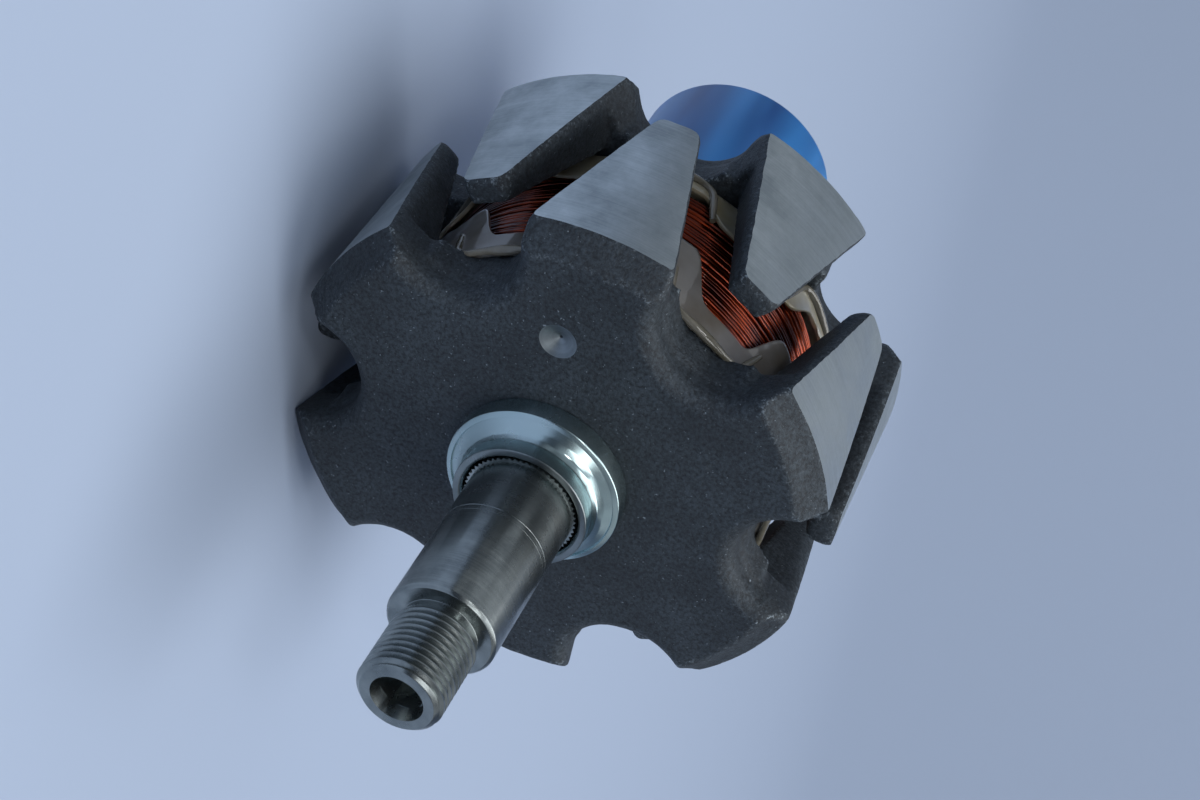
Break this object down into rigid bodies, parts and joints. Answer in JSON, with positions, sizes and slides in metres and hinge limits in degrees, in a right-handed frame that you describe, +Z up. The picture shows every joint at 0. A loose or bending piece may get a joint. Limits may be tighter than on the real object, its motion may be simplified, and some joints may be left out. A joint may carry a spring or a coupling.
{
  "type": "alternator rotor",
  "caption": "Claw-pole rotor of a vehicle alternator: interlocking forged claws round a wound field coil, on a shaft with a threaded end, stepped collar and capped slip rings",
  "frame": {"origin": "on the shaft axis, in the end face of the collar that the front bearing sits against", "axes": "the shaft lies along Y with its threaded end towards -Y; +Z is up, away from the surface that the claws rest on"},
  "size_m": [0.108, 0.1734, 0.108],
  "materials": {
    "pole_steel": "blasted forged steel, machined outside",
    "shaft_steel": "ground and turned steel",
    "zinc_collar": "bright zinc plate",
    "copper_wire": "enamelled copper wire, varnished",
    "bobbin_resin": "milky resin-coated insulation",
    "hub_resin": "moulded phenolic resin",
    "ring_copper": "turned copper",
    "cap_plastic": "soft blue polyethylene",
    "sleeve_fabric": "woven glass sleeving, varnished"
  },
  "bodies": {
    "root": {"bobbin_tube": "bobbin_resin", "field_coil": "copper_wire", "front_cheek": "bobbin_resin", "front_collar": "zinc_collar", "front_pole_half": "pole_steel", "inner_slip_ring": "ring_copper", "lead_sleeve_1": "sleeve_fabric", "lead_sleeve_2": "sleeve_fabric", "lead_wire_1": "copper_wire", "lead_wire_2": "copper_wire", "outer_slip_ring": "ring_copper", "rear_cheek": "bobbin_resin", "rear_pole_half": "pole_steel", "rear_spacer": "shaft_steel", "shaft": "shaft_steel", "slip_ring_cap": "cap_plastic", "slip_ring_hub": "hub_resin"}
  },
  "joints": []
}
